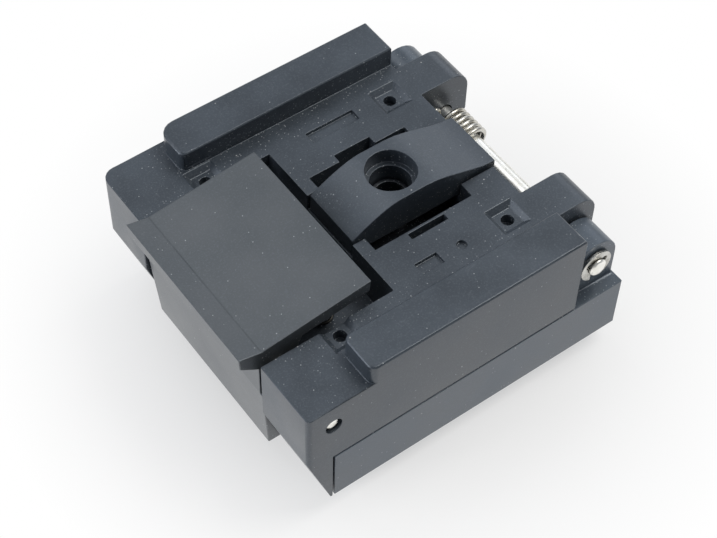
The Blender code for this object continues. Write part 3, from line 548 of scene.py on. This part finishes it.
view = {"azimuth": -127.37, "elevation": 52.85, "roll": 1.65, "distance": 234.6, "target": (-4.0, 0.0, 6.0),
        "aside": 0.61, "up": 0.18, "lens": 87.77, "sensor": 36.0, "nearest": 10.0}      # mm and degrees


def makeCamera(look):
    turn, lift, roll = (math.radians(look[key]) for key in ("azimuth", "elevation", "roll"))
    ahead = -Vector((math.cos(turn) * math.cos(lift), math.sin(turn) * math.cos(lift), math.sin(lift)))
    right = ahead.cross(Vector((0, 0, 1))).normalized()
    above = right.cross(ahead)
    right, above = (math.cos(roll) * right + math.sin(roll) * above,
                    math.cos(roll) * above - math.sin(roll) * right)
    place = Vector(look["target"]) - ahead * look["distance"] - right * look["aside"] - above * look["up"]
    data = bpy.data.cameras.new("photo view")
    data.lens = look["lens"]
    data.sensor_width = look["sensor"]
    data.clip_start = look["nearest"] * mm
    camera = bpy.data.objects.new("photo view", data)
    bpy.context.collection.objects.link(camera)
    matrix = Matrix((right, above, -ahead)).transposed().to_4x4()
    matrix.translation = place * mm
    camera.matrix_world = matrix
    bpy.context.scene.camera = camera


# floorSize is in metres, and the floor's gap and shadow are in mm
studio = {"floorSize": 3.0, "floorGap": 0.05, "floor": "f4f4f4", "floorRoughness": 0.9, "floorGloss": 0.1,
          "nearWhite": 0.56, "mirroredWhite": 1.0, "shadowStart": 27.0, "shadowEnd": 55.0,
          "world": "eef3fa", "worldLight": 0.16, "worldMirrored": 0.38}
lamps = {      # degrees, metres and watts
    "panel behind the hinge end": {"azimuth": 58, "elevation": 50, "distance": 0.9, "size": 1.4,
                                   "power": 1.7, "colour": "f2f7ff"},
    "lamp behind": {"azimuth": 105, "elevation": 58, "distance": 0.9, "size": 0.5,
                    "power": 1.0, "colour": "ffffff"},
    "low lamp at the hinge end": {"azimuth": 33, "elevation": 27, "distance": 0.9, "size": 0.4,
                                  "power": 0.5, "colour": "f4f8ff"},
    "key from the hinge end": {"azimuth": -18, "elevation": 60, "distance": 0.9, "size": 0.5,
                               "power": 4.3, "colour": "fffdf8"},
    "window at the latch end": {"azimuth": 165, "elevation": 16, "distance": 0.9, "size": 0.7,
                                "power": 5.0, "colour": "f4f8ff"},
}


def makeFloor(look):
    half = look["floorSize"] / 2
    level = cadBox[0].z - look["floorGap"] * mm
    mesh = bpy.data.meshes.new("floor")
    corners = [(x * half, y * half, level) for x, y in ((-1, -1), (1, -1), (1, 1), (-1, 1))]
    mesh.from_pydata(corners, [], [(0, 1, 2, 3)])
    material, tree, shader = newMaterial("white paper sweep")
    shader.inputs["Base Color"].default_value = hexColour(look["floor"])
    shader.inputs["Roughness"].default_value = look["floorRoughness"]
    shader.inputs["Specular IOR Level"].default_value = look["floorGloss"]
    # the camera sees the paper turn white away from the object, with the shadow near it, and a glossy
    # surface mirrors it as white
    white = addNode(tree, "ShaderNodeEmission", {"Color": (1, 1, 1, 1), "Strength": 1.0})
    place = addNode(tree, "ShaderNodeTexCoord").outputs["Object"]
    away = addNode(tree, "ShaderNodeVectorMath", {"operation": "LENGTH"}, {0: place}).outputs["Value"]
    share = spread(tree, away, look["shadowStart"] * mm, look["shadowEnd"] * mm, look["nearWhite"], 1.0)
    ray = addNode(tree, "ShaderNodeLightPath")
    seen = addNode(tree, "ShaderNodeMath", {"operation": "MULTIPLY"},
                   {0: ray.outputs["Is Camera Ray"], 1: share}).outputs[0]
    mirrored = addNode(tree, "ShaderNodeMath", {"operation": "MULTIPLY", 1: look["mirroredWhite"]},
                       {0: ray.outputs["Is Glossy Ray"]}).outputs[0]
    amount = addNode(tree, "ShaderNodeMath", {"operation": "MAXIMUM"}, {0: seen, 1: mirrored}).outputs[0]
    both = addNode(tree, "ShaderNodeMixShader", links={0: amount, 1: shader.outputs[0], 2: white.outputs[0]})
    tree.links.new(both.outputs[0], tree.nodes["Material Output"].inputs["Surface"])
    mesh.materials.append(material)
    floor = bpy.data.objects.new("floor", mesh)
    bpy.context.collection.objects.link(floor)


def makeWorld(look):
    world = bpy.data.worlds.new("studio")
    bpy.context.scene.world = world
    world.use_nodes = True
    tree = world.node_tree
    light = tree.nodes["Background"]
    light.inputs["Color"].default_value = hexColour(look["world"])
    light.inputs["Strength"].default_value = look["worldLight"]
    mirrored = addNode(tree, "ShaderNodeBackground", {"Color": hexColour(look["world"]),
                       "Strength": look["worldMirrored"]})
    white = addNode(tree, "ShaderNodeBackground", {"Color": (1, 1, 1, 1), "Strength": 1.0})
    ray = addNode(tree, "ShaderNodeLightPath")
    shown = addNode(tree, "ShaderNodeMixShader", links={0: ray.outputs["Is Glossy Ray"], 1: light.outputs[0],
                                                        2: mirrored.outputs[0]})
    both = addNode(tree, "ShaderNodeMixShader", links={0: ray.outputs["Is Camera Ray"], 1: shown.outputs[0],
                                                       2: white.outputs[0]})
    tree.links.new(both.outputs[0], tree.nodes["World Output"].inputs["Surface"])


def makeLamp(name, look):
    turn, lift = math.radians(look["azimuth"]), math.radians(look["elevation"])
    away = Vector((math.cos(turn) * math.cos(lift), math.sin(turn) * math.cos(lift), math.sin(lift)))
    data = bpy.data.lights.new(name, "AREA")
    data.size = look["size"]
    data.energy = look["power"]
    data.color = hexColour(look["colour"])[:3]
    lamp = bpy.data.objects.new(name, data)
    bpy.context.collection.objects.link(lamp)
    turned = away.to_track_quat("Z", "Y").to_matrix().to_4x4()
    lamp.matrix_world = Matrix.Translation(away * look["distance"]) @ turned


makeCamera(view)
makeFloor(studio)
makeWorld(studio)
for name, look in lamps.items():
    makeLamp(name, look)
bpy.context.scene.view_settings.view_transform = "Standard"
print("camera, floor and light set")
